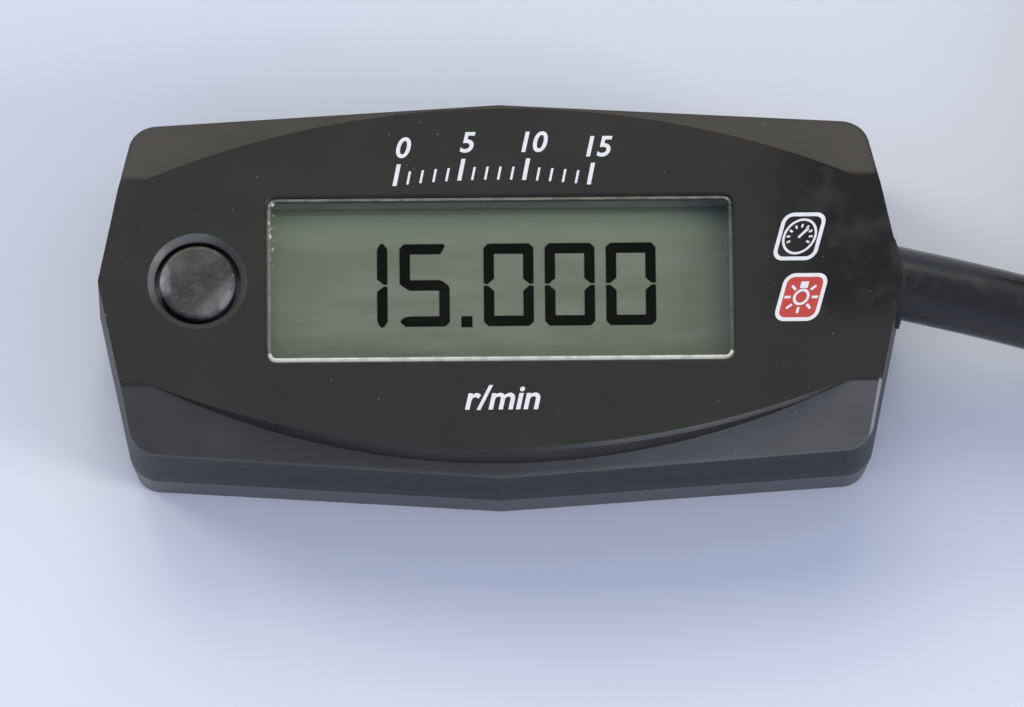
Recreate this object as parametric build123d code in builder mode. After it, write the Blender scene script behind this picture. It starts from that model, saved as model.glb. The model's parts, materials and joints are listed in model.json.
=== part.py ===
from build123d import *
from math import atan2, cos, degrees, pi, radians, sin, sqrt, tan
import os

# Small engine tachometer that lies on its back, face up. Millimetres.
# Origin: middle of the flat back. +X runs along the face to the cable end, +Y to the face's top, +Z out of the face.

os.makedirs("parts", exist_ok=True)

# Housing plan: an octagon whose four sides are shallow points
length = 62.3  # end point to end point at the parting line
width = 30.3  # side point to side point at the parting line
end_point = 2.75  # how far each end stands out past its two corners
side_point = 1.9  # the same for the long sides
corner_radius = 2.4
point_radius = 0.9  # softens the eight-sided plan's shallow points

# Housing heights and walls
thickness = 14.0
parting = 4.65  # height of the joint between front shell and back cover
wall = 1.6
wall_draft = 1.0  # degrees
cover_taper = 4.7  # degrees
cover_floor = 1.6
rim_round = 0.35
cover_round = 0.4

# Face: a flat panel, two ledges that fall away, and a raised field between two long arcs
ledge_width = 6.95  # from the flat panel's long edges to the side points
ledge_angle = 23.6  # degrees
arc_radius = 70.0
arc_inset = 1.43  # from the raised field's apex to the side point
step_draft = 9.0  # degrees, of the step wall under each arc
step_sink = 1.0  # how far the step wall is carried on below the ledge

# Display window and what lies under it
window_end_margin = 13.15  # from the window to the end points
window_side_margin = 8.5  # from the window to the side points
window_corner = 0.75
window_recess = 0.08  # how far the lens lies below the panel
window_edge = 0.15
lens_gap = 0.08
lens_bevel = 0.2
lens_flange = 0.8
lens_flange_thickness = 0.5
stack_gap = 0.05
polariser_thickness = 0.2
polariser_margin = 0.5  # how far the glass shows round the polariser
glass_end_overlap = 0.7  # of the glass past the window, at each end
glass_side_overlap = 2.15
glass_thickness = 2.2
reflector_thickness = 0.2
guide_end_inset = 1.4  # of the light guide from the glass's ends, where its lamps stand
guide_side_inset = 2.3
strip_end_inset = 1.7
strip_width = 1.2
strip_inset = 0.15  # from the glass's edge to the strip
frame_wall = 0.5
frame_fit = 0.08
led_length = 1.0
led_width = 3.0
led_height = 1.4
led_spacing = 6.0

# Button and its switch
button_inset = 7.85  # from the end point to the button's centre
button_y = -0.05
button_diameter = 5.9
button_hole = 6.65
button_sink = 0.25  # how far the cap's rim lies below the panel
button_travel = 0.5
button_dish = 0.38
button_rim = 0.3
countersink_diameter = 7.75
button_flange_diameter = 7.4
button_flange_thickness = 0.9
button_flange_gap = 0.1
switch_size = 6.0
switch_height = 3.5
plunger_diameter = 3.4
plunger_fit = 0.06
plunger_hold = 0.8  # how much of the plunger stands in the switch

# Board and what is soldered to it
board_bottom = 5.0
board_thickness = 1.2
board_gap = 0.25
chip_size = 7.0
chip_thickness = 1.4
chip_x = -5.0
pin_count = 8
pin_pitch = 0.8
pin_width = 0.35
pin_reach = 1.0
crystal_length = 5.0
crystal_width = 2.2
crystal_height = 1.3
crystal_x = 3.5
regulator_x = 12.5
regulator_length = 4.6
regulator_width = 2.6
regulator_height = 1.5
capacitor_size = (1.6, 0.9, 0.9)
capacitor_pitch = 2.6
capacitor_count = 5
capacitor_y = 6.2

# Screws
screw_end_inset = 4.8  # from the corners of the plan
screw_side_inset = 4.45
screw_diameter = 2.0
screw_head = 3.9
screw_length = 10.0
screw_fit = 0.04
screw_clearance = 0.12
boss_diameter = 4.0
pillar_diameter = 4.8
recess_length = 2.1
recess_width = 0.45
recess_depth = 0.6

# Joint between the two housing halves
lip_fit = 0.1
lip_thickness = 0.9
lip_height = 0.95
groove_inset = 0.5
groove_width = 0.6
groove_depth = 0.5
gasket_fit = 0.03

# Cable
cable_diameter = 5.6
cable_y = 0.75
cable_z = 9.2
cable_side_slope = -0.2075
cable_fall_slope = -0.06
jacket_inside = 2.5  # how far the jacket reaches in past the end point
straight_run = 6.9  # how far the cable leaves straight before its first bend
gland_wall = 0.7
gland_proud = 0.3
gland_inside = 2.3
wire_diameter = 1.3
wire_spread = 1.35
pad_spread = 2.4
pad_inset = 6.95  # from the end point to the board's pads
wire_bend = 1.8
wire_straight = 1.6  # of each wire, before it spreads to its pad

# Coil of put-away cable, and the connector that lies on it
coil_x = 77.0
coil_y = 19.05
coil_outside = 69.0
coil_inside = 39.4
coil_layers = 2
coil_round = 2.2
top_turn_inner = 25.9
top_turn_outer = 33.7
top_turn_start = 72.0  # degrees
coil_end_angle = 2.0
coil_end_radius = 28.5
boot_length = 6.0
boot_width = 9.6
boot_height = 5.0
connector_length = 14.0
connector_width = 11.0
connector_round = 0.5
cavity_count = 3
cavity_pitch = 3.2
cavity_width = 2.2
cavity_height = 2.6
cavity_depth = 11.0
terminal_length = 8.5
terminal_fit = 0.05
terminal_bore = 1.1
latch_length = 8.0
latch_width = 4.0
latch_thickness = 0.8

# Worked out from the sizes above
half_length = length / 2
half_width = width / 2
corner_x = half_length - end_point
corner_y = half_width - side_point
crease_y = half_width - ledge_width
arc_top = half_width - arc_inset
window_length = length - 2 * window_end_margin
window_height = width - 2 * window_side_margin
glass_length = window_length + 2 * glass_end_overlap
glass_height = window_height + 2 * glass_side_overlap
guide_length = glass_length - 2 * guide_end_inset
guide_height = glass_height - 2 * guide_side_inset
strip_length = glass_length - 2 * strip_end_inset
strip_y = glass_height / 2 - strip_inset - strip_width / 2
button_x = button_inset - half_length
screw_x = corner_x - screw_end_inset
screw_y = corner_y - screw_side_inset
ceiling = thickness - wall
board_top = board_bottom + board_thickness
cover_wall = wall + lip_fit + lip_thickness
lens_back = ceiling - lens_flange_thickness
lcd_top = lens_back - stack_gap
glass_top = lcd_top - polariser_thickness
glass_bottom = glass_top - glass_thickness
guide_top = glass_bottom - reflector_thickness
cap_bottom = ceiling - button_flange_gap - button_flange_thickness
switch_top = board_top + switch_height
cable_radius = cable_diameter / 2
gland_radius = cable_radius + gland_wall
screw_spots = [(x, y) for x in (-screw_x, screw_x) for y in (-screw_y, screw_y)]


# Eight-sided plan of the housing, moved in by inset, on the plane at height z
def plan(z, inset):
    corners = [
        (half_length, 0), (corner_x, corner_y), (0, half_width), (-corner_x, corner_y),
        (-half_length, 0), (-corner_x, -corner_y), (0, -half_width), (corner_x, -corner_y),
    ]
    with BuildSketch(Plane.XY.offset(z)) as shape:
        Polygon(*corners, align=None)
        if inset:
            offset(amount=-inset, kind=Kind.INTERSECTION)
        true_corners = shape.vertices().filter_by(lambda v: abs(v.X) > half_length / 2 and abs(v.Y) > half_width / 2)
        fillet(true_corners, radius=max(corner_radius - inset, point_radius))
        points = shape.vertices().filter_by(lambda v: abs(v.X) < 0.01 or abs(v.Y) < 0.01)
        fillet(points, radius=point_radius)
    return shape.sketch


# The band between two insets of the same plan
def plan_ring(z, outer, inner):
    with BuildSketch(Plane.XY) as ring:
        add(plan(0, outer))
        add(plan(0, inner), mode=Mode.SUBTRACT)
    return Plane.XY.offset(z) * ring.sketch


# The front half's form above the parting line, every surface moved in by inset
def face_form(inset):
    top = thickness - inset
    fall = tan(radians(ledge_angle))
    crease = crease_y - inset * tan(radians(ledge_angle / 2))
    radius = arc_radius - inset
    apex = arc_top - inset
    reach = sqrt(radius**2 - (radius - apex + crease) ** 2)
    step = (apex - crease) * fall + step_sink
    with BuildPart() as form:
        extrude(plan(parting, inset), amount=top - parting, taper=wall_draft)
        with BuildSketch(Plane.YZ):
            with BuildLine():
                Polyline(
                    (crease, top), (width, top - (width - crease) * fall), (width, thickness + wall),
                    (crease, thickness + wall), close=True,
                )
            make_face()
            mirror(about=Plane.YZ)
        extrude(amount=length, both=True, mode=Mode.SUBTRACT)
        with BuildSketch(Plane.XY.offset(top)):
            with BuildLine():
                upper = ThreePointArc((-reach, crease), (0, apex), (reach, crease))
                lower = ThreePointArc((-reach, -crease), (0, -apex), (reach, -crease))
                Line(upper @ 0, lower @ 0)
                Line(upper @ 1, lower @ 1)
            make_face()
        extrude(amount=-step, taper=-step_draft)
    return form.part


# A straight stretch of cable leaves the wall along this line
def on_exit_line(run):
    return Vector(half_length + run, cable_y + run * cable_side_slope, cable_z + run * cable_fall_slope)


exit_direction = (on_exit_line(1) - on_exit_line(0)).normalized()
exit_plane = Plane(origin=on_exit_line(0), z_dir=exit_direction)

# Space inside the front shell, less the four screw bosses
with BuildPart() as hollow:
    add(face_form(wall))
    with Locations(*[(x, y, board_top) for x, y in screw_spots]):
        Cylinder(boss_diameter / 2, thickness, align=(Align.CENTER, Align.CENTER, Align.MIN), mode=Mode.SUBTRACT)

# Front shell: face, side walls and the four bosses, moulded in one
with BuildPart() as front_shell:
    add(face_form(0))
    ledge_rims = front_shell.edges().filter_by(
        lambda e: abs(e.center().Y) > crease_y + wall / 2 and e.bounding_box().size.Z < wall
        and e.center().Z > parting + wall and e.geom_type != GeomType.BSPLINE
    ).filter_by(lambda e: e.geom_type != GeomType.CIRCLE)
    fillet(ledge_rims, radius=rim_round)
    add(hollow.part, mode=Mode.SUBTRACT)
    with BuildSketch(Plane.XY.offset(thickness)):
        RectangleRounded(window_length, window_height, window_corner)
    extrude(amount=-2 * wall, mode=Mode.SUBTRACT)
    window_rim = front_shell.edges().group_by(Axis.Z)[-1].filter_by(
        lambda e: abs(e.center().X) < window_length / 2 + lens_gap and abs(e.center().Y) < window_height / 2 + lens_gap
    )
    chamfer(window_rim, length=window_edge)
    with Locations((button_x, button_y, thickness)):
        CounterSinkHole(button_hole / 2, countersink_diameter / 2, depth=2 * wall, counter_sink_angle=90)
    with BuildSketch(exit_plane):
        Circle(gland_radius)
    extrude(amount=2 * jacket_inside, both=True, mode=Mode.SUBTRACT)
    with Locations(*[Plane(origin=(x, y, board_top), z_dir=(0, 0, -1)) for x, y in screw_spots]):
        Hole(screw_diameter / 2 + screw_fit, depth=screw_length + recess_depth - board_top)
front_shell.part.label = "front_shell"

# Back cover: a shallow tray with a raised lip, a groove for the seal and four screw pillars
with BuildPart() as back_cover:
    extrude(plan(parting, 0), amount=-parting, taper=cover_taper)
    fillet(back_cover.edges().group_by(Axis.Z)[0], radius=cover_round)
    extrude(plan(parting, cover_wall), amount=cover_floor - parting, taper=cover_taper, mode=Mode.SUBTRACT)
    extrude(plan_ring(parting, wall + lip_fit, cover_wall), amount=lip_height)
    extrude(plan_ring(parting, groove_inset, groove_inset + groove_width), amount=-groove_depth, mode=Mode.SUBTRACT)
    with Locations(*[(x, y, cover_floor / 2) for x, y in screw_spots]):
        Cylinder(
            pillar_diameter / 2, board_bottom - cover_floor / 2, align=(Align.CENTER, Align.CENTER, Align.MIN),
        )
    with Locations(*[Plane(origin=(x, y, 0), z_dir=(0, 0, -1)) for x, y in screw_spots]):
        CounterSinkHole(
            screw_diameter / 2 + screw_clearance, screw_head / 2 + screw_fit, depth=board_top, counter_sink_angle=90,
        )
back_cover.part.label = "back_cover"

# Rubber seal that fills the groove and meets the front shell
with BuildPart() as cover_seal:
    seal_ring = plan_ring(parting, groove_inset + gasket_fit, groove_inset + groove_width - gasket_fit)
    extrude(seal_ring, amount=-groove_depth)
cover_seal.part.label = "cover_seal"

# Four countersunk screws with cross recesses, put in from the back
with BuildPart() as cover_screws:
    with Locations(*[(x, y, 0) for x, y in screw_spots]):
        Cylinder(screw_diameter / 2, screw_length, align=(Align.CENTER, Align.CENTER, Align.MIN))
        Cone(
            screw_head / 2, screw_diameter / 2, (screw_head - screw_diameter) / 2,
            align=(Align.CENTER, Align.CENTER, Align.MIN),
        )
    with BuildSketch(Plane.XY):
        with Locations(*screw_spots):
            Rectangle(recess_length, recess_width)
            Rectangle(recess_width, recess_length)
    extrude(amount=recess_depth, mode=Mode.SUBTRACT)
cover_screws.part.label = "cover_screws"

# Clear lens: its front fills the window, its flange is bonded behind the panel
with BuildPart() as display_window:
    with BuildSketch(Plane.XY.offset(ceiling)):
        RectangleRounded(window_length - 2 * lens_gap, window_height - 2 * lens_gap, window_corner - lens_gap)
    extrude(amount=wall - window_recess)
    chamfer(display_window.edges().group_by(Axis.Z)[-1], length=lens_bevel)
    with BuildSketch(Plane.XY.offset(ceiling)):
        RectangleRounded(window_length + 2 * lens_flange, window_height + 2 * lens_flange, window_corner)
    extrude(amount=-lens_flange_thickness)
display_window.part.label = "display_window"

# Front polariser film
with BuildPart() as front_polariser:
    with BuildSketch(Plane.XY.offset(glass_top)):
        Rectangle(glass_length - 2 * polariser_margin, glass_height - 4 * polariser_margin)
    extrude(amount=polariser_thickness)
front_polariser.part.label = "front_polariser"

# Liquid crystal cell: two sheets of glass with their sealed edge, the lower one longer
with BuildPart() as display_glass:
    with BuildSketch(Plane.XY.offset(glass_bottom)):
        Rectangle(glass_length, glass_height)
    extrude(amount=glass_thickness / 2)
    with BuildSketch(Plane.XY.offset(glass_bottom + glass_thickness / 2)):
        Rectangle(glass_length, glass_height - 2 * polariser_margin)
    extrude(amount=glass_thickness / 2)
display_glass.part.label = "display_glass"

# Reflective rear film
with BuildPart() as rear_reflector:
    with BuildSketch(Plane.XY.offset(guide_top)):
        Rectangle(guide_length, guide_height)
    extrude(amount=reflector_thickness)
rear_reflector.part.label = "rear_reflector"

# Light guide, wedge-cut at the end that its lamps shine into
with BuildPart() as light_guide:
    with BuildSketch(Plane.XZ):
        with BuildLine():
            Polyline(
                (-guide_length / 2, board_top), (guide_length / 2, board_top), (guide_length / 2, guide_top),
                (-guide_length / 2 + led_length, guide_top), (-guide_length / 2, board_top + led_height), close=True,
            )
        make_face()
    extrude(amount=guide_height / 2, both=True)
light_guide.part.label = "light_guide"

# Two side-firing lamps for the display
with BuildPart() as backlight_lamps:
    with Locations((-guide_length / 2, 0, board_top)):
        with GridLocations(0, led_spacing, 1, 2):
            Box(led_length, led_width, led_height, align=(Align.MAX, Align.CENTER, Align.MIN))
backlight_lamps.part.label = "backlight_lamps"

# Conductive rubber strips that carry the board's contacts up to the glass
for side, name in ((1, "upper_contact_strip"), (-1, "lower_contact_strip")):
    with BuildPart() as contact_strip:
        with Locations((0, side * strip_y, board_top)):
            Box(strip_length, strip_width, glass_bottom - board_top, align=(Align.CENTER, Align.CENTER, Align.MIN))
    contact_strip.part.label = name
    export_step(contact_strip.part, f"parts/{name}.step")

# Moulded frame that holds the glass, the strips and the light guide over the board
with BuildPart() as display_frame:
    with BuildSketch(Plane.XY.offset(board_top)):
        RectangleRounded(
            glass_length + 2 * (frame_fit + frame_wall), glass_height + 2 * (frame_fit + frame_wall), frame_wall,
        )
    extrude(amount=lcd_top - board_top)
    with BuildSketch(Plane.XY.offset(glass_bottom)):
        Rectangle(glass_length + 2 * frame_fit, glass_height + 2 * frame_fit)
    extrude(amount=thickness, mode=Mode.SUBTRACT)
    with BuildSketch(Plane.XY.offset(board_top)):
        Rectangle(guide_length + 2 * led_length + 4 * frame_fit, guide_height + 2 * frame_fit)
        with GridLocations(0, 2 * strip_y, 1, 2):
            Rectangle(strip_length + 2 * frame_fit, strip_width + 2 * frame_fit)
    extrude(amount=thickness, mode=Mode.SUBTRACT)
display_frame.part.label = "display_frame"

# Circuit board, clamped between the cover's pillars and the shell's bosses
with BuildPart() as circuit_board:
    extrude(plan(board_bottom, cover_wall + board_gap), amount=board_thickness)
    with Locations(*[(x, y, board_top) for x, y in screw_spots]):
        Hole(screw_diameter / 2 + screw_clearance)
circuit_board.part.label = "circuit_board"

# Microcontroller with gull-wing pins on its four sides
with BuildPart() as microcontroller:
    with BuildSketch(Plane.XY.offset(board_bottom)):
        with Locations((chip_x, 0)):
            RectangleRounded(chip_size, chip_size, chip_size / 20)
    extrude(amount=-chip_thickness)
    with BuildSketch(Plane.XY.offset(board_bottom)):
        with Locations((chip_x, 0)):
            with GridLocations(0, pin_pitch, 1, pin_count):
                Rectangle(chip_size + 2 * pin_reach, pin_width)
            with GridLocations(pin_pitch, 0, pin_count, 1):
                Rectangle(pin_width, chip_size + 2 * pin_reach)
    extrude(amount=-chip_thickness / 5)
microcontroller.part.label = "microcontroller"

# Clock crystal in its can
with BuildPart() as clock_crystal:
    with BuildSketch(Plane.XY.offset(board_bottom)):
        with Locations((crystal_x, 0)):
            SlotOverall(crystal_length, crystal_width, rotation=90)
    extrude(amount=-crystal_height)
clock_crystal.part.label = "clock_crystal"

# Voltage regulator
with BuildPart() as voltage_regulator:
    with Locations((regulator_x, 0, board_bottom)):
        Box(
            regulator_width, regulator_length, regulator_height, align=(Align.CENTER, Align.CENTER, Align.MAX),
        )
    chamfer(voltage_regulator.edges().group_by(Axis.Z)[0], length=regulator_height / 5)
voltage_regulator.part.label = "voltage_regulator"

# Two rows of ceramic capacitors
with BuildPart() as capacitors:
    with Locations((chip_x, 0, board_bottom)):
        with GridLocations(capacitor_pitch, 2 * capacitor_y, capacitor_count, 2):
            Box(*capacitor_size, align=(Align.CENTER, Align.CENTER, Align.MAX))
capacitors.part.label = "capacitors"

# Key switch on the board under the button, open at the top for its plunger
with BuildPart() as key_switch:
    with BuildSketch(Plane.XY.offset(board_top)):
        with Locations((button_x, button_y)):
            RectangleRounded(switch_size, switch_size, switch_size / 12)
    extrude(amount=switch_height)
    chamfer(key_switch.edges().group_by(Axis.Z)[-1], length=switch_size / 20)
    with Locations((button_x, button_y, switch_top)):
        Hole(plunger_diameter / 2 + plunger_fit, depth=plunger_hold + 2 * button_travel)
key_switch.part.label = "key_switch"

with BuildPart() as switch_plunger:
    with BuildSketch(Plane.XY.offset(switch_top - plunger_hold)):
        with Locations((button_x, button_y)):
            Circle(plunger_diameter / 2)
    extrude(amount=cap_bottom - switch_top + plunger_hold)
switch_plunger.part.label = "switch_plunger"

# Button: a dished cap with a flange that keeps it behind the panel
with BuildPart() as button_cap:
    cap_top = thickness - button_sink
    cap_radius = button_diameter / 2
    flange_top = cap_bottom + button_flange_thickness
    dish_reach = cap_radius - button_rim
    dish_radius = (dish_reach**2 + button_dish**2) / (2 * button_dish)
    with BuildSketch(Plane.XZ):
        with BuildLine():
            Polyline(
                (0, cap_top - button_dish), (0, cap_bottom), (button_flange_diameter / 2, cap_bottom),
                (button_flange_diameter / 2, flange_top), (cap_radius, flange_top), (cap_radius, cap_top - button_rim),
            )
            TangentArc((cap_radius, cap_top - button_rim), (cap_radius - button_rim, cap_top), tangent=(0, 1))
            RadiusArc((cap_radius - button_rim, cap_top), (0, cap_top - button_dish), dish_radius)
        make_face()
    revolve(axis=Axis.Z)
button_cap.part = Location((button_x, button_y, 0)) * button_cap.part
button_cap.part.label = "button_cap"

# Rubber bush in the end wall, trimmed to stand a little proud of both slopes of the point
end_slope = Vector(corner_y, end_point, 0).normalized()
with BuildPart() as cable_gland:
    with BuildSketch(exit_plane):
        Circle(gland_radius)
        Circle(cable_radius, mode=Mode.SUBTRACT)
    extrude(amount=2 * jacket_inside, both=True)
    for side in (1, -1):
        slope = Vector(end_slope.X, side * end_slope.Y, sin(radians(wall_draft)))
        split(bisect_by=Plane(origin=Vector(half_length, 0, parting) + slope * gland_proud, z_dir=slope), keep=Keep.BOTTOM)
    split(bisect_by=Plane.YZ.offset(half_length - gland_inside), keep=Keep.TOP)
cable_gland.part.label = "cable_gland"

# Cable from the jacket's end inside the wall to the coil: straight out, then down to the table
cable_route = [
    on_exit_line(-jacket_inside), on_exit_line(straight_run),
    Vector(47.45, -3.1, 7.1), Vector(54.9, -5.75, 4.3), Vector(62.1, -8.95, 2.82),
]
runs = [b - a for a, b in zip(cable_route, cable_route[1:])]
bend_radii = [
    0.45 * min(a.length, b.length) / tan(radians(a.get_angle(b) / 2)) for a, b in zip(runs, runs[1:])
]
print("cable bend radii", [round(r, 1) for r in bend_radii])
with BuildPart() as cable_lead:
    with BuildLine() as lead_line:
        FilletPolyline(*cable_route, radius=bend_radii)
    with BuildSketch(Plane(origin=cable_route[0], z_dir=runs[0])):
        Circle(cable_radius)
    sweep()
cable_lead.part.label = "cable_lead"
lead_length = lead_line.wire().length
print("cable lead", round(lead_length, 1), "volume", round(cable_lead.part.volume, 1),
      "section times length", round(pi * cable_radius**2 * lead_length, 1))

# Three insulated wires from the jacket's end down to their pads on the board
with BuildPart() as lead_wires:
    across = Vector(0, 0, 1).cross(exit_direction).normalized()
    for step in (-1, 0, 1):
        start = on_exit_line(-jacket_inside) + across * (step * wire_spread)
        straight_end = start - exit_direction * wire_straight
        knee = on_exit_line(-pad_inset) + Vector(0, step * pad_spread, 0)
        with BuildLine() as wire_line:
            Line(start, straight_end)
            FilletPolyline(straight_end, knee, Vector(knee.X, knee.Y, board_top), radius=wire_bend)
        with BuildSketch(Plane(origin=start, z_dir=-exit_direction)):
            Circle(wire_diameter / 2)
        sweep(path=wire_line.wire(), transition=Transition.RIGHT)
lead_wires.part.label = "lead_wires"

# Outer shape of the coil: two flat layers of turns, and part of a turn on top
coil_height = coil_layers * cable_diameter
with BuildPart() as cable_coil:
    with BuildSketch(Plane.XZ):
        with Locations(((coil_outside + coil_inside) / 4, coil_height / 2)):
            RectangleRounded((coil_outside - coil_inside) / 2, coil_height, coil_round)
    revolve(axis=Axis.Z)
    with BuildSketch(Plane.XZ.rotated((0, 0, top_turn_start))):
        with Locations(((top_turn_inner + top_turn_outer) / 2, coil_height)):
            RectangleRounded(top_turn_outer - top_turn_inner, 2 * cable_diameter, coil_round)
    revolve(axis=Axis.Z, revolution_arc=360 + coil_end_angle - top_turn_start)
cable_coil.part = Location((coil_x, coil_y, 0)) * cable_coil.part
cable_coil.part.label = "cable_coil"

# Connector on the coil, in line with the end of the top turn
end_angle = radians(coil_end_angle)
connector_plane = Plane(
    origin=(
        coil_x + coil_end_radius * cos(end_angle), coil_y + coil_end_radius * sin(end_angle),
        coil_height + cable_radius,
    ),
    x_dir=(-cos(end_angle), -sin(end_angle), 0), z_dir=(-sin(end_angle), cos(end_angle), 0),
)
with BuildPart() as connector_boot:
    with BuildSketch(connector_plane):
        Circle(cable_radius)
    with BuildSketch(connector_plane.offset(boot_length)):
        RectangleRounded(boot_width, boot_height, boot_height / 4)
    loft()
connector_boot.part.label = "connector_boot"

with BuildPart() as connector_housing:
    with BuildSketch(connector_plane.offset(boot_length)):
        RectangleRounded(connector_width, cable_diameter, connector_round)
    extrude(amount=connector_length)
    with BuildSketch(connector_plane.offset(boot_length + connector_length)):
        with GridLocations(cavity_pitch, 0, cavity_count, 1):
            Rectangle(cavity_width, cavity_height)
    extrude(amount=-cavity_depth, mode=Mode.SUBTRACT)
    with BuildSketch(connector_plane.offset(boot_length + connector_length - latch_length)):
        with Locations((0, cable_radius + latch_thickness / 2)):
            Rectangle(latch_width, latch_thickness)
    extrude(amount=latch_length - latch_thickness)
connector_housing.part.label = "connector_housing"

with BuildPart() as connector_terminals:
    terminal_start = boot_length + connector_length - cavity_depth
    with BuildSketch(connector_plane.offset(terminal_start)):
        with GridLocations(cavity_pitch, 0, cavity_count, 1):
            Rectangle(cavity_width - 2 * terminal_fit, cavity_height - 2 * terminal_fit)
    extrude(amount=terminal_length)
    with BuildSketch(connector_plane.offset(terminal_start + terminal_length)):
        with GridLocations(cavity_pitch, 0, cavity_count, 1):
            Rectangle(terminal_bore, terminal_bore)
    extrude(amount=-terminal_length * 3 / 4, mode=Mode.SUBTRACT)
connector_terminals.part.label = "connector_terminals"

for piece in (
    front_shell, back_cover, cover_seal, cover_screws, display_window, front_polariser, display_glass,
    rear_reflector, light_guide, backlight_lamps, display_frame, circuit_board, microcontroller, clock_crystal,
    voltage_regulator, capacitors, key_switch, switch_plunger, button_cap, cable_gland, cable_lead, lead_wires,
    cable_coil, connector_boot, connector_housing, connector_terminals,
):
    export_step(piece.part, f"parts/{piece.part.label}.step")
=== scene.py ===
import json
import math

import bpy
from mathutils import Matrix, Vector

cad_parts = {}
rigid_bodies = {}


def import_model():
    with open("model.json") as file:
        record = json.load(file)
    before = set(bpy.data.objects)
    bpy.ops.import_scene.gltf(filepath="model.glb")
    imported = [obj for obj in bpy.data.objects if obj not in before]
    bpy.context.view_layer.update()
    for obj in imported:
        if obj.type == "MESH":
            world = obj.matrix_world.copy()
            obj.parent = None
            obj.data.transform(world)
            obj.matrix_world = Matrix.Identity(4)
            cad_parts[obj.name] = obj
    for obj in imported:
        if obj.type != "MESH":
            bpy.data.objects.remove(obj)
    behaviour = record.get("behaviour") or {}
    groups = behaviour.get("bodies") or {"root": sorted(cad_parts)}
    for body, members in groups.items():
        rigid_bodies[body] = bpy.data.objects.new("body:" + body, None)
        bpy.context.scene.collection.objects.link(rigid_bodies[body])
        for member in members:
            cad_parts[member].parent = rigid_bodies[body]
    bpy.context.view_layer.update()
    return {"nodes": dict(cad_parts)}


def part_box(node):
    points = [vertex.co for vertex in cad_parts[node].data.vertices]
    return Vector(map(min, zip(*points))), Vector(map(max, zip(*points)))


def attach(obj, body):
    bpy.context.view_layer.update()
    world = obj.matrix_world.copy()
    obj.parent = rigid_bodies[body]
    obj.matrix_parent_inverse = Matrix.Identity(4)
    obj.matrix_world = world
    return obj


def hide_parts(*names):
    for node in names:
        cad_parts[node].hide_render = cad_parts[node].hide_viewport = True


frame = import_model()
nodes = frame["nodes"]
scene = bpy.context.scene
mm = 0.001  # every size in the dictionaries below is in millimetres


# One socket of a finish. An expression on it adds the Math nodes.
class Value:
    def __init__(self, finish, socket):
        self.finish, self.socket = finish, socket

    def math(self, operation, *others):
        return self.finish.math(operation, self, *others)

    def __add__(self, other):
        return self.math("ADD", other)

    __radd__ = __add__

    def __sub__(self, other):
        return self.math("SUBTRACT", other)

    def __rsub__(self, other):
        return self.finish.math("SUBTRACT", other, self)

    def __mul__(self, other):
        return self.math("MULTIPLY", other)

    __rmul__ = __mul__

    def __truediv__(self, other):
        return self.math("DIVIDE", other)

    def __gt__(self, other):
        return self.math("GREATER_THAN", other)

    def __lt__(self, other):
        return self.math("LESS_THAN", other)

    def __abs__(self):
        return self.math("ABSOLUTE")


# A material under construction, or the sky
class Finish:
    def __init__(self, name, owner=None, place="Object"):
        self.material = owner or bpy.data.materials.new(name)
        self.material.use_nodes = True
        self.tree = self.material.node_tree
        self.tree.nodes.clear()
        self.place = self.node("ShaderNodeTexCoord", out=place)

    def node(self, kind, settings=None, sockets=None, out=0):
        made = self.tree.nodes.new(kind)
        for key, value in (settings or {}).items():
            if key == "stops":
                for stop in value[2:]:
                    made.color_ramp.elements.new(stop[0])
                for element, (at, colour) in zip(made.color_ramp.elements, value):
                    element.position, element.color = at, (*colour, 1)
            else:
                setattr(made, key, value)
        for key, value in (sockets or {}).items():
            if isinstance(value, Value):
                self.tree.links.new(value.socket, made.inputs[key])
            else:
                made.inputs[key].default_value = value
        return Value(self, made.outputs[out]) if made.outputs else None

    def math(self, operation, *values):
        return self.node("ShaderNodeMath", {"operation": operation}, dict(enumerate(values)))

    def axis(self, letter):
        return self.node("ShaderNodeSeparateXYZ", None, {0: self.place}, out="XYZ".index(letter))

    # The place on some axes, in millimetres
    def along(self, letters):
        return [self.axis(letter) / mm for letter in letters]

    # How far apart two places are, from the distances along two axes
    def distance(self, a, b):
        return self.math("SQRT", a * a + b * b)

    # Noise with blotches about size millimetres across. A stretch below 1 draws them out along that axis.
    def noise(self, size, detail, stretch=None):
        place = self.place
        if stretch:
            place = self.node("ShaderNodeVectorMath", {"operation": "MULTIPLY"}, {0: place, 1: stretch})
        sockets = {"Vector": place, "Scale": 1 / (size * mm), "Detail": detail}
        return self.node("ShaderNodeTexNoise", None, sockets)

    # Blotches of noise as a mask: 0 where the noise is below low, 1 where it is above high
    def blotches(self, size, detail, low, high, stretch=None):
        return self.ramp(self.noise(size, detail, stretch), low, high)

    # Specks about apart millimetres from each other, left out over half of the surface
    def specks(self, apart, radius, clusters):
        cells = self.node("ShaderNodeTexVoronoi", None, {"Vector": self.place, "Scale": 1 / (apart * mm)})
        return (cells < radius) * (self.noise(clusters, 1.0) > 0.5)

    # 0 below low, 1 above high, and smooth between
    def ramp(self, value, low, high):
        settings = {"interpolation_type": "SMOOTHSTEP"}
        return self.node("ShaderNodeMapRange", settings, {0: value, 1: low, 2: high, 3: 0.0, 4: 1.0})

    def mix(self, factor, a, b):
        a, b = ((*c, 1) if isinstance(c, tuple) else c for c in (a, b))
        return self.node("ShaderNodeMix", {"data_type": "RGBA"}, {0: factor, 6: a, 7: b}, out=2)

    def bump(self, height, depth, strength):
        sockets = {"Height": height, "Distance": depth * mm, "Strength": strength}
        return self.node("ShaderNodeBump", None, sockets)

    def surface(self, sockets):
        shader = self.node("ShaderNodeBsdfPrincipled", None, sockets)
        self.node("ShaderNodeOutputMaterial", None, {"Surface": shader})
        return self.material


def dress(material, *names):
    for name in names:
        mesh = nodes[name].data
        mesh.materials.clear()
        mesh.materials.append(material)


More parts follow.
